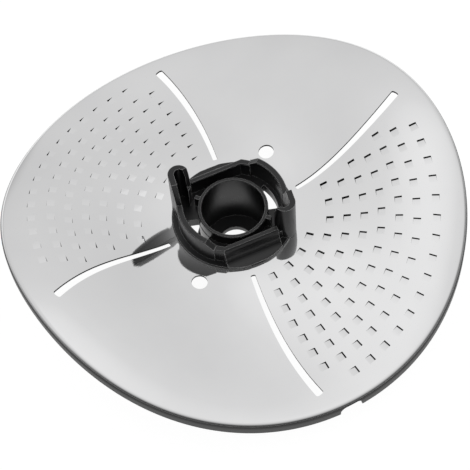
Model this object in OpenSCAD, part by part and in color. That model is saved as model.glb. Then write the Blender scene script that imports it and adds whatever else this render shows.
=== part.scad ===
// Food processor blade cover: a waved steel disc with pressed tabs and slots, held by a moulded hub.
// Origin on the hub's axis, in the plane of the disc's top face where the hub grips it. +Z up.
// Turned half way round, the part is the same again. +X points to the right with the front at -Y.

/* [Steel disc] */
// Radius of the flat blank at its rim (mm)
blank_r = 67.5; // [62:0.5:74]
// How much longer the blank is across than front to back (mm)
blank_oval = 1.1; // [0:0.1:2]
// Sheet thickness (mm)
sheet_t = 0.7; // [0.5:0.05:1]
// Radius that stays flat round the hub (mm)
flat_r = 17; // [16.5:0.1:17.2]
// Radius of the rounded fold at the rim (mm)
fold_r = 1.9; // [1.5:0.1:2.5]
// Height of the skirt below the fold (mm)
skirt_h = 2.4; // [1.2:0.1:4]

/* [Wave] */
// Rise of the whole rim above the hub (mm)
dish_rise = 3.49; // [0:0.01:6]
// How early the dish lifts (ratio)
dish_early = 2.58; // [0:0.01:3]
// Height of the two crests and depth of the two troughs (mm)
wave_rise = 9.85; // [0:0.05:12]
// How early the wave lifts (ratio)
wave_early = 5.38; // [0:0.01:6]
// How much the wave levels out towards the rim (ratio)
wave_level = 1.84; // [0:0.01:3]
// Direction of the right crest at the rim (degrees)
crest_dir = 27.4; // [0:0.1:60]
// Turn of the crest line from hub to rim (degrees)
crest_turn = 5.4; // [0:0.1:12]
// Height of the four-fold ripple (mm)
ripple_rise = 1.3; // [0:0.05:2]
// How much of the ripple stays at the rim (ratio)
ripple_late = 2.48; // [0:0.01:3]
// Direction of the ripple (degrees)
ripple_dir = 24.3; // [0:0.1:90]

/* [Slots] */
// Radius where each slot begins (mm)
slot_in = 20.8; // [20.4:0.1:24]
// Radius where each slot ends (mm)
slot_out = 60; // [50:0.1:61]
// Slot width at its inner end (mm)
slot_w_in = 1.4; // [1:0.05:2.4]
// Slot width at its outer end (mm)
slot_w_out = 2.4; // [1.5:0.05:3.5]
// Direction of the lower right slot at mid length (degrees)
slot_dir = -76.4; // [-90:0.1:-60]
// Angle of the sector of tabs between two slots (degrees)
tab_sector = 100.8; // [98:0.1:105]
// Lean of the slots (degrees for each half length)
slot_lean = 3.8; // [0:0.1:5]
// Curl of the slots (degrees)
slot_curl = 0.96; // [0:0.02:1.5]

/* [Round holes] */
// Diameter of the two round holes (mm)
hole_d = 4.6; // [3:0.1:5]
// Radius of the circle they lie on (mm)
hole_at = 23.9; // [23:0.1:26]
// Direction of the upper one (degrees)
hole_dir = 61.5; // [50:0.5:70]

/* [Tabs] */
// Side of a pressed tab (mm)
tab_side = 2.2; // [1.6:0.05:2.4]
// How far the deep end of a tab is pressed below the sheet's face (mm)
tab_drop = 0.5; // [0.3:0.05:1.2]
// Wall round the sunken part of a tab (mm)
tab_wall = 0.2; // [0.1:0.05:0.6]
// Radius of the innermost ring of tabs (mm)
ring_in = 23; // [22.5:0.1:24]
// Step between rings (mm)
ring_step = 5.07; // [4.8:0.01:5.2]
// Extra step to the outermost ring (mm)
ring_extra = 0.5; // [0:0.05:0.8]
// Step between tabs round a ring (mm)
tab_step = 5.65; // [5:0.01:5.8]
// Step between tabs in the sixth ring (mm)
tab_step_6 = 5.28; // [5:0.01:5.4]

/* [Hub] */
// Diameter of the hub's flange (mm)
flange_d = 36; // [34:0.5:37]
// Flange thickness above the sheet (mm)
flange_up = 1; // [0.8:0.1:1.5]
// Flange thickness below the sheet (mm)
flange_down = 1.5; // [1:0.1:3]
// Diameter of the core that fills the sheet's centre (mm)
core_d = 31; // [29:0.5:31]
// Room above and below the sheet in the groove (mm)
groove_gap = 0.05; // [0.04:0.01:0.1]
// Inner diameter of the centre tube (mm)
tube_d = 18.2; // [16:0.1:19]
// Wall of the centre tube (mm)
tube_wall = 1.1; // [0.7:0.05:1.3]
// Height of the centre tube above the sheet (mm)
tube_up = 5; // [3:0.1:6]
// Wall of the collar at the sleeve's lower end (mm)
collar_wall = 2.2; // [1.6:0.1:4]
// Height of that collar (mm)
collar_h = 5; // [4:0.1:8]
// Depth of the sleeve below the sheet (mm)
sleeve_down = 16; // [13:0.1:30]
// Thickness of the sleeve's floor (mm)
floor_t = 1.6; // [1:0.1:3]
// Diameter of the drive bore through the floor (mm)
bore_d = 9.8; // [8:0.1:13]
// Width of the two drive notches in the sleeve's lower end (mm)
notch_w = 4; // [2:0.1:6]
// Height of the two drive notches (mm)
notch_h = 3; // [1.5:0.1:5]

/* [Hub walls] */
// Inner radius of the two curved walls (mm)
wall_r = 14.3; // [13.8:0.1:14.5]
// Thickness of the curved walls (mm)
wall_t = 1.8; // [1.2:0.1:2]
// Height of the straight and low walls (mm)
wall_up = 6.4; // [4:0.1:8]
// Height of the raised part of the curved walls (mm)
raised_up = 8.8; // [7:0.1:10]
// Distance of the straight walls from the axis (mm)
flat_at = 11.75; // [11.4:0.05:12.5]
// Thickness of the straight walls (mm)
flat_t = 1.6; // [1:0.1:2]
// Length of the straight walls (mm)
flat_len = 16.8; // [15:0.1:17.6]
// Direction the straight walls run in (degrees)
flat_dir = 19; // [16:0.5:22]

/* [Ears] */
// Height of each ear above the sheet (mm)
ear_up = 15.4; // [12:0.1:18]
// Height of an ear's short inner arm at its end (mm)
ear_low = 9; // [7:0.1:15]
// Outer radius of an ear's bend (mm)
ear_r = 3.05; // [2.8:0.05:3.2]
// Radius of the hollow inside an ear (mm)
ear_hollow = 1.6; // [1.2:0.05:1.7]
// How far the hollow lies off the middle, towards the short arm (mm)
ear_off = 0.3; // [0:0.05:0.4]
// Distance of an ear's bend from the axis (mm)
ear_at = 15.9; // [15.6:0.1:16.2]
// Direction of the right ear (degrees)
ear_dir = -23.3; // [-25:0.1:-22]
// Direction that the right ear opens in (degrees)
ear_open = 101.5; // [95:0.5:108]
// Length of an ear's level outer arm (mm)
ear_arm = 3.3; // [2:0.1:4]
// Length of its short inner arm (mm)
ear_arm_in = 1; // [0.5:0.1:2]

/* [Hidden] */
bore_fn = 96;
small_fn = 48;
segs = 60;
rings = 7;
fold_steps = 3;
slot_steps = 14;
tab_counts = [4, 8, 9, 11, 12, 15, 15, 15];
tab_leads = [5.3, 5.1, 5.3, 5.3, 5.8, 6.1, 6.3, 12.2];
notch_skirt_dir = -65.5;
notch_skirt_w = 6.8;
notch_skirt_h = 3;
flange_r = flange_d / 2;
core_r = core_d / 2;
tube_ro = tube_d / 2 + tube_wall;
collar_ro = tube_d / 2 + collar_wall;
blank_edge = core_r - 2;
under_z = -sheet_t - groove_gap;
ramp_end = flange_r - 0.3;
raised_end = 58.5;
step_turn = 8;
low_end = 77;
low_in = 0.3;
ear_foot = 0.15;
link_up = 4.5;
nub_dir = -24;
gap_from = 3;
gap_to = 43;
gap_ro = 13.2;
integrate = 10;
box_faces = [[0, 3, 2, 1], [4, 5, 6, 7], [0, 1, 5, 4], [1, 2, 6, 5], [2, 3, 7, 6], [3, 0, 4, 7]];

// Share of the way from the flat centre to the rim
function share(rho) = max(rho - flat_r, 0) / (blank_r - flat_r);
// Height of the sheet's top face over a point of the flat blank
function lift(rho, a) =
    let (u = share(rho), u2 = u * u, u3 = u2 * u, u4 = u2 * u2)
    dish_rise * (u2 + dish_early * (u2 - u4))
    + wave_rise * (u2 + wave_early * (u2 - u3) + wave_level * (u4 - u2))
      * cos(2 * (a - crest_dir - crest_turn * (u - 1)))
    + ripple_rise * (u3 + ripple_late * (u4 - u3)) * cos(4 * (a - ripple_dir));
// Radius in plan after bending: the sheet keeps its length along every spoke
function plan_r(rho, a) =
    rho <= flat_r ? rho :
    flat_r + spoke(flat_r, (rho - flat_r) / integrate, a, 0, integrate);
function spoke(rho, d, a, sum, left) =
    left == 0 ? sum :
    spoke(rho + d, d, a, sum + sqrt(max(d * d - pow(lift(rho + d, a) - lift(rho, a), 2), 0)), left - 1);
function rim_rho(a) = blank_r + blank_oval * cos(2 * a) - fold_r;
function point(rho, a) =
    let (r = plan_r(rho, a)) [r * cos(a), r * sin(a), lift(rho, a)];

// Profile of the sheet along one spoke: top face out to the skirt's edge, then back underneath
function spoke_profile(a) =
    let (
        edge = rim_rho(a),
        rho = concat([blank_edge, flat_r, flange_r + 0.6],
            [for (i = [1:rings]) flange_r + 0.6 + (edge - flange_r - 0.6) * i / rings]),
        top = [for (q = rho) [plan_r(q, a), lift(q, a)]],
        n = len(top),
        e = top[n - 1],
        f = top[n - 2],
        slope = atan2(e[1] - f[1], e[0] - f[0]),
        c = [e[0] + fold_r * sin(slope), e[1] - fold_r * cos(slope)],
        arc = [for (i = [1:fold_steps]) let (t = (90 + slope) * (1 - i / fold_steps))
            [c[0] + fold_r * cos(t), c[1] + fold_r * sin(t)]],
        arc_in = [for (i = [1:fold_steps]) let (t = (90 + slope) * (1 - i / fold_steps))
            [c[0] + (fold_r - sheet_t) * cos(t), c[1] + (fold_r - sheet_t) * sin(t)]],
        low = c[1] - skirt_h,
        under = [for (i = [0:n - 1]) i == n - 1
            ? [c[0] - (fold_r - sheet_t) * sin(slope), c[1] + (fold_r - sheet_t) * cos(slope)]
            : top[i] - [0, sheet_t]],
        out = concat(top, arc, [[c[0] + fold_r, low]]),
        back = concat(under, arc_in, [[c[0] + fold_r - sheet_t, low]])
    ) concat(out, [for (i = [len(back) - 1:-1:0]) back[i]]);

module blank() {
    prof = [for (k = [0:segs - 1]) spoke_profile(k * 360 / segs)];
    m = len(prof[0]);
    pts = [for (k = [0:segs - 1], i = [0:m - 1])
        let (a = k * 360 / segs, p = prof[k][i]) [p[0] * cos(a), p[0] * sin(a), p[1]]];
    faces = [for (k = [0:segs - 1], i = [0:m - 1], h = [0, 1])
        let (k2 = (k + 1) % segs, i2 = (i + 1) % m,
            a0 = k * m + i, a1 = k * m + i2, b0 = k2 * m + i, b1 = k2 * m + i2)
        h == 0 ? [a0, b1, a1] : [a0, b0, b1]];
    polyhedron(points = pts, faces = faces, convexity = 8);
}

// Direction of a slot's centre line at a radius of the blank
function slot_at(rho, base) =
    let (x = (rho - 40) / 20) base + slot_lean * x + slot_curl * x * x;
function slot_mid(t, base) =
    let (rho = slot_in + (slot_out - slot_in) * t, p = point(rho, slot_at(rho, base))) [p[0], p[1]];
function unit2(v) = v / norm(v);
function slot_side(base, side) = [for (i = [0:slot_steps])
    let (
        t = i / slot_steps,
        w = (slot_w_in + (slot_w_out - slot_w_in) * t) / 2,
        inset = min(t, 1 - t) < 0.001 ? 0.55 : 1,
        along = unit2(slot_mid(t + 0.02, base) - slot_mid(t - 0.02, base)),
        n = [-along[1], along[0]]
    ) slot_mid(t, base) + n * side * w * inset];
function turned(list) = [for (i = [len(list) - 1:-1:0]) list[i]];

module slot(base)
    translate([0, 0, -30]) linear_extrude(height = 60)
        polygon(concat(slot_side(base, 1), turned(slot_side(base, -1))));

// Frame that stands on the sheet at a point: radial, tangential and normal directions
module on_sheet(rho, a) {
    d = 0.4;
    p = point(rho, a);
    er = point(rho + d, a) - point(rho - d, a);
    et = point(rho, a + 0.6) - point(rho, a - 0.6);
    x = er / norm(er);
    n = cross(er, et) / norm(cross(er, et));
    y = cross(n, x);
    multmatrix([[x[0], y[0], n[0], p[0]], [x[1], y[1], n[1], p[1]], [x[2], y[2], n[2], p[2]]])
        children();
}

// The same wedge one sheet thickness lower and wider by its wall: the metal that the press pushed down
module tab() {
    h = tab_side / 2;
    w = h + tab_wall;
    z = -sheet_t;
    polyhedron(
        points = [[-w, -h, z / 2], [w, -h, z / 2], [w, w, z / 2], [-w, w, z / 2],
            [-w, -h, z + 0.04], [w, -h, z + 0.04], [w, w, z - tab_drop], [-w, w, z - tab_drop]],
        faces = box_faces);
}

// What the press takes from the top face: a wedge, deepest at the tab's free edge
module tab_dip() {
    h = tab_side / 2;
    polyhedron(
        points = [[-h, -h, 0.6], [h, -h, 0.6], [h, h, 0.6], [-h, h, 0.6],
            [-h, -h, 0.03], [h, -h, 0.03], [h, h, -tab_drop], [-h, h, -tab_drop]],
        faces = box_faces);
}

module each_tab() {
    for (i = [0:len(tab_counts) - 1]) {
        rho = ring_in + ring_step * i + (i == 7 ? ring_extra : 0);
        step = i == 5 ? tab_step_6 : tab_step;
        for (j = [0:tab_counts[i] - 1])
            on_sheet(rho, slot_at(rho, slot_dir) + (tab_leads[i] + step * j) / rho * 180 / PI) children();
    }
}

// Notch cut up into the skirt
module skirt_notch() {
    a = notch_skirt_dir;
    edge = plan_r(rim_rho(a), a) + fold_r;
    low = lift(rim_rho(a), a) - fold_r - skirt_h;
    rotate([0, 0, a]) translate([edge - 3, 0, low])
        rotate([90, 0, 90]) linear_extrude(height = 6)
            polygon([[-notch_skirt_w / 2 - 0.4, -3], [-notch_skirt_w / 2, notch_skirt_h * 0.4],
                [-notch_skirt_w / 2 + 1, notch_skirt_h], [notch_skirt_w / 2 - 1, notch_skirt_h],
                [notch_skirt_w / 2, notch_skirt_h * 0.4], [notch_skirt_w / 2 + 0.4, -3]]);
}

// Everything of the disc that is bent or pressed, before its round holes
module waved_sheet()
    resize([0, 0, 0]) difference() {
        union() {
            blank();
            for (h = [0, 180]) rotate([0, 0, h]) each_tab() tab();
        }
        for (h = [0, 180]) rotate([0, 0, h]) {
            each_tab() tab_dip();
            slot(slot_dir);
            slot(slot_dir + tab_sector);
            skirt_notch();
        }
    }

module disc()
    color("silver")
    difference() {
        waved_sheet();
        translate([0, 0, -5]) cylinder(r = core_r, h = 10, $fn = bore_fn);
        for (h = [0, 180]) rotate([0, 0, hole_dir + h])
            translate([plan_r(hole_at, hole_dir), 0, -15]) cylinder(d = hole_d, h = 30, $fn = small_fn);
    }

// Body of revolution: flange over the sheet, core, flange under it, sleeve, tube and floor
module hub_body()
    rotate_extrude($fn = bore_fn) polygon([
        [bore_d / 2, -sleeve_down + floor_t], [bore_d / 2, -sleeve_down],
        [collar_ro - 0.5, -sleeve_down], [collar_ro, -sleeve_down + 0.5],
        [collar_ro, -sleeve_down + collar_h - 0.5], [collar_ro - 0.5, -sleeve_down + collar_h],
        [tube_ro, -sleeve_down + collar_h], [tube_ro, under_z - flange_down],
        [flange_r - 0.4, under_z - flange_down],
        [flange_r, under_z - flange_down + 0.4], [flange_r, under_z],
        [core_r - groove_gap, under_z], [core_r - groove_gap, groove_gap],
        [flange_r, groove_gap], [flange_r, flange_up - 0.3], [flange_r - 0.3, flange_up],
        [tube_ro, flange_up], [tube_ro, tube_up - 0.2], [tube_ro - 0.2, tube_up],
        [tube_d / 2 + 0.2, tube_up], [tube_d / 2, tube_up - 0.2], [tube_d / 2, -sleeve_down + floor_t]]);

// Upright wall on an arc about the axis, from angle a0 to a1
module arc_wall(ri, ro, top, a0, a1)
    rotate([0, 0, a0]) rotate_extrude(angle = a1 - a0, $fn = bore_fn)
        polygon([[ri, 0.5], [ro, 0.5], [ro, top - 0.2], [ro - 0.2, top], [ri + 0.2, top], [ri, top - 0.2]]);

// Straight wall across the flange, with the concave ramp behind it that runs down to the edge
module straight_wall() {
    outer = flat_at + flat_t;
    rotate([0, 0, flat_dir]) intersection() {
        translate([-flat_len / 2, 0, 0]) rotate([90, 0, 90]) linear_extrude(height = flat_len)
            polygon(concat(
                [[flat_at, 0.5], [ramp_end, 0.5], [ramp_end, flange_up + 0.1]],
                [for (i = [1:12]) let (t = i / 12)
                    [ramp_end + (outer + 0.3 - ramp_end) * (1 - pow(1 - t, 1.6)),
                     flange_up + 0.1 + (wall_up - 1 - flange_up) * pow(t, 2.2)]],
                [[outer, wall_up - 0.3], [outer - 0.3, wall_up], [flat_at + 0.2, wall_up],
                 [flat_at, wall_up - 0.2]]));
        cylinder(r = flange_r - 0.05, h = wall_up + 1, $fn = bore_fn);
    }
    rotate([0, 0, flat_dir]) translate([-flat_len / 2 - 1.6, flat_at + 0.15, 0.5])
        cube([2, flat_t - 0.5, link_up - 0.5]);
}

// Frame of the ear: at its bend, opening along +Y
module at_ear() rotate([0, 0, ear_dir]) translate([ear_at, 0, 0]) rotate([0, 0, ear_open - 90 - ear_dir]) children();

// Ear: a wall bent round a hollow, level on top, with a long outer arm and a short, sloping inner one
module ear() {
    e = 0.03;
    in_x = ear_off + ear_hollow;
    out_x = ear_hollow - ear_off;
    at_ear() difference() {
        union() {
            translate([0, 0, ear_foot]) cylinder(r = ear_r, h = ear_up - ear_foot, $fn = bore_fn);
            translate([out_x - 1, 0, ear_foot]) cube([ear_r - e - out_x + 1, ear_arm, ear_up - ear_foot]);
            translate([e - ear_r, 0, ear_foot]) cube([ear_r - in_x + 1, ear_arm_in, ear_up - ear_foot]);
        }
        translate([-ear_off, 0, flange_up]) cylinder(r = ear_hollow, h = ear_up, $fn = bore_fn);
        translate([e - in_x, 0, flange_up]) cube([in_x + out_x - 2 * e, ear_r + ear_arm, ear_up]);
        translate([-1, 0, 0]) rotate([90, 0, -90]) linear_extrude(height = 4)
            polygon([[1.2, ear_up], [-ear_arm_in, ear_low], [-ear_arm_in - 4, ear_low], [-ear_arm_in - 4, ear_up + 1],
                [1.2, ear_up + 1]]);
    }
    hull() {
        at_ear() translate([out_x + e, ear_arm - 0.15, ear_foot + 0.1])
            cube([ear_r - 3 * e - out_x, 0.1, ear_up - ear_foot - 0.12]);
        translate([wall_r + 0.12, 0.05, ear_foot + 0.1])
            cube([wall_t - 0.24, 0.3, raised_up - ear_foot - 0.4]);
    }
}

module half_hub() {
    arc_wall(wall_r - low_in, wall_r + wall_t - low_in, wall_up, raised_end + step_turn - 2, low_end);
    difference() {
        arc_wall(wall_r, wall_r + wall_t, raised_up, 0, raised_end + step_turn);
        rotate([0, 0, raised_end]) translate([wall_r - 2, 0, 0]) rotate([90, 0, 90])
            linear_extrude(height = wall_t + 4)
                polygon([[-0.5, raised_up + 1], [-0.5, raised_up], [2, wall_up + 0.05], [9, wall_up + 0.05],
                    [9, raised_up + 1]]);
    }
    straight_wall();
    ear();
    rotate([0, 0, nub_dir]) translate([tube_ro - 0.3, -0.6, 0.5]) cube([1.7, 1.2, tube_up - 0.6]);
}

// Opening through the flange between the tube and the curved wall
module floor_gap()
    rotate([0, 0, gap_from]) rotate_extrude(angle = gap_to - gap_from, $fn = bore_fn)
        translate([tube_ro + 0.1, under_z - flange_down - 1])
            square([gap_ro - tube_ro - 0.1, flange_up - under_z + flange_down + 3]);

module hub()
    color("dimgray") difference() {
        union() {
            hub_body();
            half_hub();
            rotate([0, 0, 180]) half_hub();
        }
        floor_gap();
        rotate([0, 0, 180]) floor_gap();
        for (h = [0, 180]) rotate([0, 0, h])
            translate([tube_d / 2 - 0.6, -notch_w / 2, -sleeve_down - 1])
                cube([collar_wall + 2, notch_w, notch_h + 1]);
    }

disc();
hub();
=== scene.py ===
import bpy
import math
import numpy as np
from mathutils import Vector, Matrix


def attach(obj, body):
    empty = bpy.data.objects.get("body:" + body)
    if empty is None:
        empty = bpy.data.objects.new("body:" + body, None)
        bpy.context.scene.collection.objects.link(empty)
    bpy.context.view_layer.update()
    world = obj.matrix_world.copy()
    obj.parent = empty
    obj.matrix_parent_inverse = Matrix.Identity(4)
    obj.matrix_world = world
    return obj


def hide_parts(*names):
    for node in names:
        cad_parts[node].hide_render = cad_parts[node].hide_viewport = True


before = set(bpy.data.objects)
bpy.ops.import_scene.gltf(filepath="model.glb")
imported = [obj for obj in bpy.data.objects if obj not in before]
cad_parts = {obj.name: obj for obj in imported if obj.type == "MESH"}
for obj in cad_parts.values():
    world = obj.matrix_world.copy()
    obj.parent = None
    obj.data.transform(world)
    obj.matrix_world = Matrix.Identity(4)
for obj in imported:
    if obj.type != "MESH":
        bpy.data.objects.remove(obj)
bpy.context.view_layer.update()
MM = 0.001

# Sizes, in millimetres and degrees
BLANK_R, BLANK_OVAL, SHEET_T, FLAT_R = 67.5, 1.1, 0.7, 17.0
FOLD_R, SKIRT_H = 1.9, 2.4
DISH_RISE, DISH_EARLY = 3.49, 2.58
WAVE_RISE, WAVE_EARLY, WAVE_LEVEL = 9.85, 5.38, 1.84
CREST_DIR, CREST_TURN = 27.4, 5.4
RIPPLE_RISE, RIPPLE_LATE, RIPPLE_DIR = 1.3, 2.48, 24.3
SLOT_IN, SLOT_OUT, SLOT_W_IN, SLOT_W_OUT = 20.8, 60.0, 1.4, 2.4
SLOT_DIR, TAB_SECTOR, SLOT_LEAN, SLOT_CURL = -76.4, 100.8, 3.8, 0.96
HOLE_D, HOLE_AT, HOLE_DIR = 4.6, 23.9, 61.5
RING_IN, RING_STEP, RING_EXTRA, TAB_STEP, TAB_STEP_6 = 23.0, 5.07, 0.5, 5.65, 5.28
TAB_COUNTS = [4, 8, 9, 11, 12, 15, 15, 15]
TAB_LEADS = [5.3, 5.1, 5.3, 5.3, 5.8, 6.1, 6.3, 12.2]
TAB_SIDE, TAB_DROP, TAB_WALL = 2.2, 0.5, 0.2
CORE_R = 15.5
FLOOR_Z, FLOOR_HALF = -16.0, 3000
NOTCH_DIR, NOTCH_W, NOTCH_H = -65.5, 6.8, 3.0
NOTCH_R, NOTCH_FLARE, NOTCH_DEEP = 1.6, 0.3, 3
SLOT_MID, SLOT_HALF = 40.0, 20.0
# Fineness of the sheet, and the radii of its innermost rings
SEGS, RINGS, FOLD_STEPS, HOLE_STEPS = 420, 70, 12, 40
INNER_RHO, EVEN_FROM = (CORE_R, 16.2, FLAT_R, 17.6), 18.2
# Small bevel at the skirt's lower edge, and the shape of a slot's rounded end
HEM, END_DEPTH, END_BULGE = 0.12, 0.55, 0.75
# Sheared edges and the drawn skirt: rougher, and darkened with painted shade; painted highlight on the open
# edges of the plastic
CUT_ROUGH, CUT_SHADE_TONE = 0.5, 0.012
SKIRT_SHADE_SHARE, SKIRT_FROM, SKIRT_TO = 0.93, 0.8, 0.52
EDGE_R, EDGE_HIGHLIGHT_TONE = 0.0002, 0.7


# The bent sheet
def lift(rho, a):
    u = np.maximum(rho - FLAT_R, 0) / (BLANK_R - FLAT_R)
    u2, u3, u4 = u ** 2, u ** 3, u ** 4
    a = np.radians(a)
    return (DISH_RISE * (u2 + DISH_EARLY * (u2 - u4))
            + WAVE_RISE * (u2 + WAVE_EARLY * (u2 - u3) + WAVE_LEVEL * (u4 - u2))
            * np.cos(2 * (a - np.radians(CREST_DIR + CREST_TURN * (u - 1))))
            + RIPPLE_RISE * (u3 + RIPPLE_LATE * (u4 - u3)) * np.cos(4 * (a - np.radians(RIPPLE_DIR))))


def plan_r(rho, a, steps=60):
    rho = np.asarray(rho, float)
    d = np.maximum(rho - FLAT_R, 0) / steps
    r = np.minimum(rho, FLAT_R).astype(float)
    for i in range(steps):
        q0, q1 = FLAT_R + d * i, FLAT_R + d * (i + 1)
        dz = lift(q1, a) - lift(q0, a)
        r = r + np.sqrt(np.maximum(d * d - dz * dz, 0))
    return r


def rim_rho(a):
    return BLANK_R + BLANK_OVAL * np.cos(2 * np.radians(a)) - FOLD_R


def point(rho, a):
    r = plan_r(rho, a)
    t = np.radians(a)
    return np.stack([r * np.cos(t), r * np.sin(t), lift(rho, a)], -1)


def tilt(rho, a):
    """Unit vectors on the sheet at a point: outwards, round, and out of its top face."""
    d = 0.4
    er = point(rho + d, a) - point(rho - d, a)
    et = point(rho, a + 0.6) - point(rho, a - 0.6)
    x = er / np.linalg.norm(er)
    n = np.cross(er, et)
    n /= np.linalg.norm(n)
    return x, np.cross(n, x), n


def new_mesh(name, verts, faces, smooth=True):
    me = bpy.data.meshes.new(name)
    faces = [tuple(int(i) for i in f) for f in faces]
    me.from_pydata([tuple(v) for v in np.asarray(verts) * MM], [], faces)
    me.validate()
    me.update()
    if smooth:
        me.polygons.foreach_set("use_smooth", [True] * len(me.polygons))
    ob = bpy.data.objects.new(name, me)
    bpy.context.scene.collection.objects.link(ob)
    return ob


def sheet_mesh(name, segs, rings, fold_steps):
    """The sheet with its fold and skirt: the same profile on every spoke, bent with the sheet."""
    ang = np.arange(segs) * 360.0 / segs
    edge = rim_rho(ang)
    rho_rows = [np.full(segs, q) for q in INNER_RHO]
    for i in range(1, rings + 1):
        rho_rows.append(EVEN_FROM + (edge - EVEN_FROM) * i / rings)
    top = [(plan_r(q, ang), lift(q, ang)) for q in rho_rows]
    r1, z1 = top[-1]
    rb, zb = plan_r(edge - 0.2, ang), lift(edge - 0.2, ang)
    slope = np.arctan2(z1 - zb, r1 - rb)
    cr, cz = r1 + FOLD_R * np.sin(slope), z1 - FOLD_R * np.cos(slope)
    outer = list(top)
    ri = FOLD_R - SHEET_T
    back = [(r, z - SHEET_T) for r, z in top[:-1]]
    back.append((cr - ri * np.sin(slope), cz + ri * np.cos(slope)))
    for i in range(1, fold_steps + 1):
        t = (math.pi / 2 + slope) * (1 - i / fold_steps)
        outer.append((cr + FOLD_R * np.cos(t), cz + FOLD_R * np.sin(t)))
        back.append((cr + ri * np.cos(t), cz + ri * np.sin(t)))
    low = cz - SKIRT_H
    for k in (0.5, 0.94):
        outer.append((cr + FOLD_R, cz - SKIRT_H * k))
        back.append((cr + ri, cz - SKIRT_H * k))
    outer.append((cr + FOLD_R - HEM, low))
    back.append((cr + ri + HEM, low))
    prof = outer + back[::-1]
    m = len(prof)
    t = np.radians(ang)
    verts = np.zeros((m, segs, 3))
    for i, (r, z) in enumerate(prof):
        verts[i] = np.stack([r * np.cos(t), r * np.sin(t), z], -1)
    faces = []
    for i in range(m):
        j = (i + 1) % m
        for k in range(segs):
            l = (k + 1) % segs
            faces.append((i * segs + k, j * segs + k, j * segs + l, i * segs + l))
    return new_mesh(name, verts.reshape(-1, 3), faces)


def slot_at(rho, base):
    x = (rho - SLOT_MID) / SLOT_HALF
    return base + SLOT_LEAN * x + SLOT_CURL * x * x


def slot_outline(base, turn, steps=40, cap=10):
    """Outline of a slot in plan, with a rounded cap at both ends."""
    def mid(t):
        rho = SLOT_IN + (SLOT_OUT - SLOT_IN) * t
        return point(rho, slot_at(rho, base))[:2]

    left, right = [], []
    for i in range(steps + 1):
        t = i / steps
        p = mid(t)
        d = mid(min(t + 0.01, 1.01)) - mid(t - 0.01)
        d /= np.linalg.norm(d)
        n = np.array([-d[1], d[0]])
        w = (SLOT_W_IN + (SLOT_W_OUT - SLOT_W_IN) * t) / 2
        left.append(p + n * w)
        right.append(p - n * w)
        if i == 0:
            w0, d0, n0, p0 = w, d, n, p
        if i == steps:
            w1, d1, n1, p1 = w, d, n, p

    def end(p, d, n, w, sign):
        pts = []
        for j in range(1, cap):
            t = math.pi * j / cap
            c, s = math.cos(t), math.sin(t)
            across = math.copysign(abs(c) ** END_BULGE, c) * sign
            pts.append(p + n * w * across + d * w * END_DEPTH * s ** END_BULGE)
        return pts

    out = left + end(p1, d1, n1, w1, 1) + right[::-1] + end(p0, -d0, n0, w0, -1)
    c, s = math.cos(math.radians(turn)), math.sin(math.radians(turn))
    return [np.array([c * q[0] - s * q[1], s * q[0] + c * q[1]]) for q in out[::-1]]


def cut(ob, cutter):
    """Take the cutter away; faces it leaves as walls carry the value 1 in the attribute "cut"."""
    for me in (ob.data, cutter.data):
        for k in range(2):
            me.materials.append(bpy.data.materials.new("mark"))
    mod = ob.modifiers.new("cut", "BOOLEAN")
    mod.operation, mod.solver, mod.object = "DIFFERENCE", "EXACT", cutter
    dg = bpy.context.evaluated_depsgraph_get()
    me = bpy.data.meshes.new_from_object(ob.evaluated_get(dg))
    ob.modifiers.remove(mod)
    old, ob.data = ob.data, me
    bpy.data.meshes.remove(old)
    bpy.data.objects.remove(cutter)
    mark = np.zeros(len(me.polygons), dtype=np.int32)
    me.polygons.foreach_get("material_index", mark)
    me.attributes.new("cut", "FLOAT", "FACE").data.foreach_set("value", mark.astype(np.float32))
    me.materials.clear()
    for mat in [m for m in bpy.data.materials if m.name.startswith("mark")]:
        bpy.data.materials.remove(mat)


def joined(name, parts):
    verts, faces, base = [], [], 0
    for v, f in parts:
        verts.append(v)
        faces += [tuple(i + base for i in q) for q in f]
        base += len(v)
    return new_mesh(name, np.vstack(verts), faces)


WEDGE = [(0, 1, 2, 3), (7, 6, 5, 4), (4, 5, 1, 0), (5, 6, 2, 1), (6, 7, 3, 2), (7, 4, 0, 3)]


def wedge(half, y1, top, z0, z1):
    """Corner points of a wedge whose floor falls from z0 at -TAB_SIDE / 2 to z1 at y1."""
    y0 = -TAB_SIDE / 2
    return np.array([(-half, y0, top), (half, y0, top), (half, y1, top), (-half, y1, top),
                     (-half, y0, z0), (half, y0, z0), (half, y1, z1), (-half, y1, z1)])


def each_tab(corners):
    """The corner points carried to every tab's place on the sheet, both halves."""
    for turn in (1, -1):
        for i, count in enumerate(TAB_COUNTS):
            rho = RING_IN + RING_STEP * i + (RING_EXTRA if i == 7 else 0)
            step = TAB_STEP_6 if i == 5 else TAB_STEP
            for j in range(count):
                a = slot_at(rho, SLOT_DIR) + math.degrees((TAB_LEADS[i] + step * j) / rho)
                yield (corners @ np.stack(tilt(rho, a)) + point(rho, a)) * np.array([turn, turn, 1])


cut_v, cut_f = [], []


def add_prism(rings, flip=False):
    """Put a closed prism between two rings of points into the cutter."""
    n, base = len(rings[0]), len(cut_v)
    cut_v.extend(p for ring in rings for p in ring)
    faces = [tuple(range(base, base + n))[::-1], tuple(range(base + n, base + 2 * n))]
    for i in range(n):
        j = (i + 1) % n
        faces.append((base + i, base + j, base + n + j, base + n + i))
    cut_f.extend(f[::-1] if flip else f for f in faces)


def upright(outline, z0, z1):
    return [[(p[0], p[1], z) for p in outline] for z in (z0, z1)]


def hole_outline(turn):
    r, a = plan_r(HOLE_AT, HOLE_DIR), math.radians(HOLE_DIR + turn)
    x, y = r * math.cos(a), r * math.sin(a)
    return [(x + HOLE_D / 2 * math.cos(q), y + HOLE_D / 2 * math.sin(q))
            for q in np.linspace(0, 2 * math.pi, HOLE_STEPS, endpoint=False)]


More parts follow.
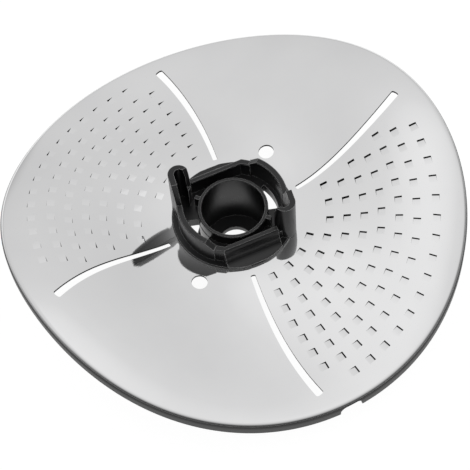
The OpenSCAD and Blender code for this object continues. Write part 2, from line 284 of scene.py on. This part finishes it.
def notch_rings(turn):
    """The notch's profile along the skirt, once inside the rim and once outside it."""
    edge = float(plan_r(rim_rho(NOTCH_DIR), NOTCH_DIR) + FOLD_R)
    low = float(lift(rim_rho(NOTCH_DIR), NOTCH_DIR)) - FOLD_R - SKIRT_H
    prof = [(-NOTCH_W / 2 - NOTCH_FLARE, -NOTCH_DEEP)]
    for side, start in ((-1, 180), (1, 90)):
        for q in np.radians(np.linspace(start, start - 90, 7)):
            prof.append((side * (NOTCH_W / 2 - NOTCH_R) + NOTCH_R * math.cos(q),
                         NOTCH_H - NOTCH_R + NOTCH_R * math.sin(q)))
    prof.append((NOTCH_W / 2 + NOTCH_FLARE, -NOTCH_DEEP))
    ca, sa = math.cos(math.radians(NOTCH_DIR + turn)), math.sin(math.radians(NOTCH_DIR + turn))
    return [[(r * ca - s * sa, r * sa + s * ca, low + z) for s, z in prof]
            for r in (edge - NOTCH_DEEP, edge + NOTCH_DEEP)]


for turn in (0, 180):
    for base in (SLOT_DIR, SLOT_DIR + TAB_SECTOR):
        add_prism(upright(slot_outline(base, turn), -30, 30))
    add_prism(upright(hole_outline(turn), -10, 10))
for turn in (0, 180):
    add_prism(notch_rings(turn), flip=True)
walls = len(cut_f)
for corners in each_tab(wedge(TAB_SIDE / 2, TAB_SIDE / 2, 0.6, 0.015, -TAB_DROP)):
    cut_f += [tuple(i + len(cut_v) for i in f) for f in WEDGE]
    cut_v += [tuple(q) for q in corners]

# A tab's pressed floor, the second face of its wedge, keeps the sheet's polish; all else is sheared
disc = sheet_mesh("disc_steel", SEGS, RINGS, FOLD_STEPS)
cutter = new_mesh("cutters", cut_v, cut_f, smooth=False)
# The sheared faces get the mark "cut", and the steel paints shade on them as a near-black colour
sheared = [1 if i < walls or (i - walls) % 6 != 1 else 0 for i in range(len(cut_f))]
cutter.data.polygons.foreach_set("material_index", sheared)
cut(disc, cutter)


def paint_skirt_shade(ob):
    """The drawn skirt gets painted shade, a darker colour, and is rougher than the face; this starts inside
    the fold.
    """
    polys, marks = ob.data.polygons, ob.data.attributes["cut"].data
    centre, normal, mark = (np.zeros(len(polys) * k) for k in (3, 3, 1))
    polys.foreach_get("center", centre)
    polys.foreach_get("normal", normal)
    marks.foreach_get("value", mark)
    centre, normal = centre.reshape(-1, 3) / MM, normal.reshape(-1, 3)
    way = np.degrees(np.arctan2(centre[:, 1], centre[:, 0]))
    folded = np.hypot(centre[:, 0], centre[:, 1]) > plan_r(rim_rho(way), way)
    # Painted shade: the skirt's share of the dark tone grows as its faces turn from up towards the side
    share = np.clip((SKIRT_FROM - normal[:, 2]) / (SKIRT_FROM - SKIRT_TO), 0, 1)
    marks.foreach_set("value", np.maximum(mark, share * SKIRT_SHADE_SHARE * folded).astype(np.float32))


paint_skirt_shade(disc)

# The tabs' metal below the sheet
reach = TAB_SIDE / 2 + TAB_WALL
under = wedge(reach, reach, 0.03 - SHEET_T, -SHEET_T, -SHEET_T - TAB_DROP)
tabs = joined("disc_tabs", [(v, WEDGE) for v in each_tab(under)])


# Materials
def nodes_of(name):
    mat = bpy.data.materials.new(name)
    mat.use_nodes = True
    nt = mat.node_tree
    nt.nodes.clear()
    return mat, nt


def add(nt, kind, x=0, y=0, **sets):
    """A node at a place, with its properties or the values of its sockets."""
    n = nt.nodes.new(kind)
    n.location = (x, y)
    for k, v in sets.items():
        if hasattr(n, k) and k not in n.inputs:
            setattr(n, k, v)
        else:
            n.inputs[k].default_value = v
    return n


def noise(nt, co, scale, detail, y):
    n = add(nt, "ShaderNodeTexNoise", -800, y, Scale=scale, Detail=detail)
    nt.links.new(co, n.inputs["Vector"])
    return n.outputs["Fac"]


def mapped(nt, value, x, y, **sets):
    """A value mapped from its range to another; a name like To_Min stands for To Min."""
    n = add(nt, "ShaderNodeMapRange", x, y)
    for k, v in sets.items():
        n.inputs[k.replace("_", " ")].default_value = v
    nt.links.new(value, n.inputs["Value"])
    return n.outputs["Result"]


def two_tones(nt, value, at, tones):
    r = add(nt, "ShaderNodeValToRGB", -400, 200)
    for e, pos, tone in zip(r.color_ramp.elements, at, tones):
        e.position, e.color = pos, tone
    nt.links.new(value, r.inputs["Fac"])
    return r.outputs["Color"]


def steel():
    mat, nt = nodes_of("brushed_steel")
    L = nt.links.new
    out = add(nt, "ShaderNodeOutputMaterial", 900, 0)
    b = add(nt, "ShaderNodeBsdfPrincipled", 600, 0, Metallic=1.0)
    co = add(nt, "ShaderNodeTexCoord", -1200, 0).outputs["Object"]
    mp = add(nt, "ShaderNodeMapping", -1000, 0, Scale=(60, 1600, 1600))
    L(co, mp.inputs["Vector"])
    grain = noise(nt, mp.outputs["Vector"], 6.0, 3.0, 0)
    cloud = noise(nt, co, 45.0, 4.0, -300)
    painted_shade_mask = add(nt, "ShaderNodeAttribute", -400, 600, attribute_name="cut").outputs["Fac"]
    rough = add(nt, "ShaderNodeMix", 200, -100)
    L(painted_shade_mask, rough.inputs[0])
    L(mapped(nt, cloud, -400, -200, To_Min=0.015, To_Max=0.04), rough.inputs[2])
    rough.inputs[3].default_value = CUT_ROUGH
    L(rough.outputs[0], b.inputs["Roughness"])
    # Painted shade: where the "cut" mark is set (sheared walls, drawn skirt) the colour goes to a near-black
    # tone
    tone = add(nt, "ShaderNodeMix", 200, 200, data_type="RGBA")
    L(painted_shade_mask, tone.inputs["Factor"])
    bright = two_tones(nt, cloud, (0.3, 0.7), ((0.765, 0.765, 0.77, 1), (0.80, 0.80, 0.803, 1)))
    L(bright, tone.inputs["A"])
    tone.inputs["B"].default_value = (CUT_SHADE_TONE, CUT_SHADE_TONE, CUT_SHADE_TONE, 1)
    L(tone.outputs["Result"], b.inputs["Base Color"])
    bump = add(nt, "ShaderNodeBump", 100, -400, Strength=0.03, Distance=0.00004)
    L(grain, bump.inputs["Height"])
    L(bump.outputs["Normal"], b.inputs["Normal"])
    L(b.outputs["BSDF"], out.inputs["Surface"])
    return mat


def plastic():
    mat, nt = nodes_of("black_plastic")
    L = nt.links.new
    out = add(nt, "ShaderNodeOutputMaterial", 900, 0)
    b = add(nt, "ShaderNodeBsdfPrincipled", 600, 0)
    co = add(nt, "ShaderNodeTexCoord", -1200, 0).outputs["Object"]
    fine = noise(nt, co, 2600.0, 2.0, 0)
    cloud = noise(nt, co, 120.0, 4.0, -300)
    L(mapped(nt, cloud, -400, -200, To_Min=0.24, To_Max=0.34), b.inputs["Roughness"])
    # Painted highlight: open, convex edges of the plastic get a pale base colour where light would glint on
    # a rounded edge
    edge = add(nt, "ShaderNodeBevel", -800, -600, samples=6, Radius=EDGE_R)
    geo = add(nt, "ShaderNodeNewGeometry", -800, -800)
    same = add(nt, "ShaderNodeVectorMath", -600, -700, operation="DOT_PRODUCT")
    L(edge.outputs["Normal"], same.inputs[0])
    L(geo.outputs["Normal"], same.inputs[1])
    open_air = add(nt, "ShaderNodeAmbientOcclusion", -600, -1000, samples=4, only_local=True, Distance=0.001)
    edge_highlight = add(nt, "ShaderNodeMath", -100, -800, operation="MULTIPLY")
    L(mapped(nt, same.outputs["Value"], -400, -700, From_Min=0.985, From_Max=0.80), edge_highlight.inputs[0])
    L(mapped(nt, open_air.outputs["AO"], -400, -1000, From_Min=0.62, From_Max=0.78), edge_highlight.inputs[1])
    tone = add(nt, "ShaderNodeMix", 200, 200, data_type="RGBA")
    L(edge_highlight.outputs[0], tone.inputs["Factor"])
    black = two_tones(nt, cloud, (0.3, 0.8), ((0.004, 0.004, 0.0045, 1), (0.008, 0.008, 0.0085, 1)))
    L(black, tone.inputs["A"])
    tone.inputs["B"].default_value = (EDGE_HIGHLIGHT_TONE, EDGE_HIGHLIGHT_TONE, EDGE_HIGHLIGHT_TONE, 1)
    L(tone.outputs["Result"], b.inputs["Base Color"])
    bump = add(nt, "ShaderNodeBump", 100, -400, Strength=0.12, Distance=0.0001)
    L(edge.outputs["Normal"], bump.inputs["Normal"])
    L(fine, bump.inputs["Height"])
    L(bump.outputs["Normal"], b.inputs["Normal"])
    L(b.outputs["BSDF"], out.inputs["Surface"])
    return mat


STEEL, PLASTIC = steel(), plastic()


def finish_piece(ob, mat):
    ob.data.materials.clear()
    ob.data.materials.append(mat)
    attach(ob, "root")


def smooth_by_angle(ob, deg):
    me = ob.data
    me.polygons.foreach_set("use_smooth", [True] * len(me.polygons))
    me.set_sharp_from_angle(angle=math.radians(deg))


smooth_by_angle(disc, 16)
smooth_by_angle(tabs, 16)
for ob in (disc, tabs):
    finish_piece(ob, STEEL)
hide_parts("disc")

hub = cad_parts["hub"]
hub.data.materials.clear()
hub.data.materials.append(PLASTIC)

# Floor: camera, mirror and glass rays all see it white, with a faint shadow
FLOOR_GREY, FLOOR_GLOW, FLOOR_SHADE = 0.8, 0.925, 0.14
corners = [(x * FLOOR_HALF, y * FLOOR_HALF, FLOOR_Z) for x, y in ((-1, -1), (1, -1), (1, 1), (-1, 1))]
floor = new_mesh("floor", corners, [(0, 1, 2, 3)], smooth=False)
fm, nt = nodes_of("floor_white")
L = nt.links.new
out = add(nt, "ShaderNodeOutputMaterial", 800, 0)
plain = add(nt, "ShaderNodeBsdfDiffuse", 0, 200, Color=(FLOOR_GREY, FLOOR_GREY, FLOOR_GREY, 1))
shade = add(nt, "ShaderNodeBsdfDiffuse", 0, 0, Color=(FLOOR_SHADE, FLOOR_SHADE, FLOOR_SHADE, 1))
glow = add(nt, "ShaderNodeEmission", 0, -200, Strength=FLOOR_GLOW)
white = add(nt, "ShaderNodeAddShader", 300, -100)
L(shade.outputs["BSDF"], white.inputs[0])
L(glow.outputs["Emission"], white.inputs[1])
rays = add(nt, "ShaderNodeLightPath", 0, 500)
sharp = add(nt, "ShaderNodeMath", 200, 500, operation="MAXIMUM")
seen = add(nt, "ShaderNodeMath", 400, 500, operation="MAXIMUM")
L(rays.outputs["Is Glossy Ray"], sharp.inputs[0])
L(rays.outputs["Is Transmission Ray"], sharp.inputs[1])
L(rays.outputs["Is Camera Ray"], seen.inputs[0])
L(sharp.outputs[0], seen.inputs[1])
mix = add(nt, "ShaderNodeMixShader", 600, 0)
L(seen.outputs[0], mix.inputs["Fac"])
L(plain.outputs["BSDF"], mix.inputs[1])
L(white.outputs["Shader"], mix.inputs[2])
L(mix.outputs["Shader"], out.inputs["Surface"])
floor.data.materials.append(fm)

# The studio: a pale dome, and round its foot a level that changes with the direction in plan
DOME = ((0.0, 0.72), (0.50, 0.77), (0.75, 0.81), (0.88, 0.86), (0.95, 0.95), (1.0, 1.0))
FOOT = ((-180, 0.62), (-150, 0.40), (-120, 0.12), (-90, 0.07), (-60, 0.08), (-25, 0.25), (20, 0.45),
        (90, 0.45), (150, 0.62), (180, 0.62))
BACK = ((-180, 0.6), (-140, 0.0), (-40, 0.0), (0, 0.4), (40, 1.0), (160, 1.0), (180, 0.6))
RISE_START_FRONT, RISE_FRONT, RISE_START_BACK, RISE_BACK = 0.30, 0.90, 0.0, 0.25

world = bpy.data.worlds.new("studio")
bpy.context.scene.world = world
world.use_nodes = True
wt = world.node_tree
wt.nodes.clear()
L = wt.links.new


def ramp_of(points, lo, hi, x, y):
    """Colour ramp through (value, level) points, its factor running from lo to hi."""
    r = add(wt, "ShaderNodeValToRGB", x, y)
    e = r.color_ramp.elements
    for k, (pos, level) in enumerate(points):
        t = (pos - lo) / (hi - lo)
        q = e[0] if k == 0 else e[len(e) - 1] if k == len(points) - 1 else e.new(t)
        q.position, q.color = t, (level, level, level, 1)
    return r


def math_node(op, x, y, a, b, c=None):
    n = add(wt, "ShaderNodeMath", x, y)
    n.operation = op
    for k, v in enumerate((a, b, c)):
        if isinstance(v, (int, float)):
            n.inputs[k].default_value = v
        elif v is not None:
            L(v, n.inputs[k])
    return n.outputs[0]


wo = add(wt, "ShaderNodeOutputWorld", 1200, 0)
tc = add(wt, "ShaderNodeTexCoord", -1600, 0)
sx = add(wt, "ShaderNodeSeparateXYZ", -1400, 0)
L(tc.outputs["Generated"], sx.inputs["Vector"])
turn = math_node("ARCTAN2", -1200, 200, sx.outputs["Y"], sx.outputs["X"])
share = math_node("MULTIPLY_ADD", -1000, 200, turn, 0.5 / math.pi, 0.5)
foot = ramp_of(FOOT, -180, 180, -700, 200)
L(share, foot.inputs["Fac"])
dome = ramp_of(DOME, 0, 1, -700, -100)
L(sx.outputs["Z"], dome.inputs["Fac"])
back = ramp_of(BACK, -180, 180, -700, 500)
L(share, back.inputs["Fac"])
low = math_node("MULTIPLY_ADD", -300, 500, back.outputs["Color"],
                RISE_START_BACK - RISE_START_FRONT, RISE_START_FRONT)
high = math_node("MULTIPLY_ADD", -300, 300, back.outputs["Color"], RISE_BACK - RISE_FRONT, RISE_FRONT)
rise = add(wt, "ShaderNodeMapRange", 0, 300)
rise.interpolation_type = "SMOOTHSTEP"
L(sx.outputs["Z"], rise.inputs["Value"])
L(low, rise.inputs["From Min"])
L(high, rise.inputs["From Max"])
blend = add(wt, "ShaderNodeMix", 400, 0, data_type="RGBA")
L(rise.outputs["Result"], blend.inputs["Factor"])
L(foot.outputs["Color"], blend.inputs["A"])
L(dome.outputs["Color"], blend.inputs["B"])
bg = add(wt, "ShaderNodeBackground", 800, 0)
L(blend.outputs["Result"], bg.inputs["Color"])
L(bg.outputs["Background"], wo.inputs["Surface"])

# Camera: elevation and roll in degrees, distance and shift of aim in mm, focal length in pixels
EL, ROLL, DIST, TX, TY, FOCAL = 59.45, 5.40, 462.7, -0.39, 5.509, 1591.9
FRAME, SENSOR = 470, 36.0
el, ro = math.radians(EL), math.radians(ROLL)
f0 = Vector((0, math.cos(el), -math.sin(el)))
r0 = Vector((1, 0, 0))
u0 = Vector((0, math.sin(el), math.cos(el)))
right = r0 * math.cos(ro) - u0 * math.sin(ro)
up = r0 * math.sin(ro) + u0 * math.cos(ro)
pos = -(right * TX + up * TY + f0 * DIST) * MM
cam_data = bpy.data.cameras.new("camera")
cam = bpy.data.objects.new("camera", cam_data)
bpy.context.scene.collection.objects.link(cam)
cam.matrix_world = Matrix(((right.x, up.x, -f0.x, pos.x), (right.y, up.y, -f0.y, pos.y),
                           (right.z, up.z, -f0.z, pos.z), (0, 0, 0, 1)))
cam_data.sensor_width, cam_data.lens = SENSOR, FOCAL / FRAME * SENSOR
cam_data.clip_start, cam_data.clip_end = 0.01, 50
bpy.context.scene.camera = cam
bpy.context.scene.view_settings.view_transform = "Standard"
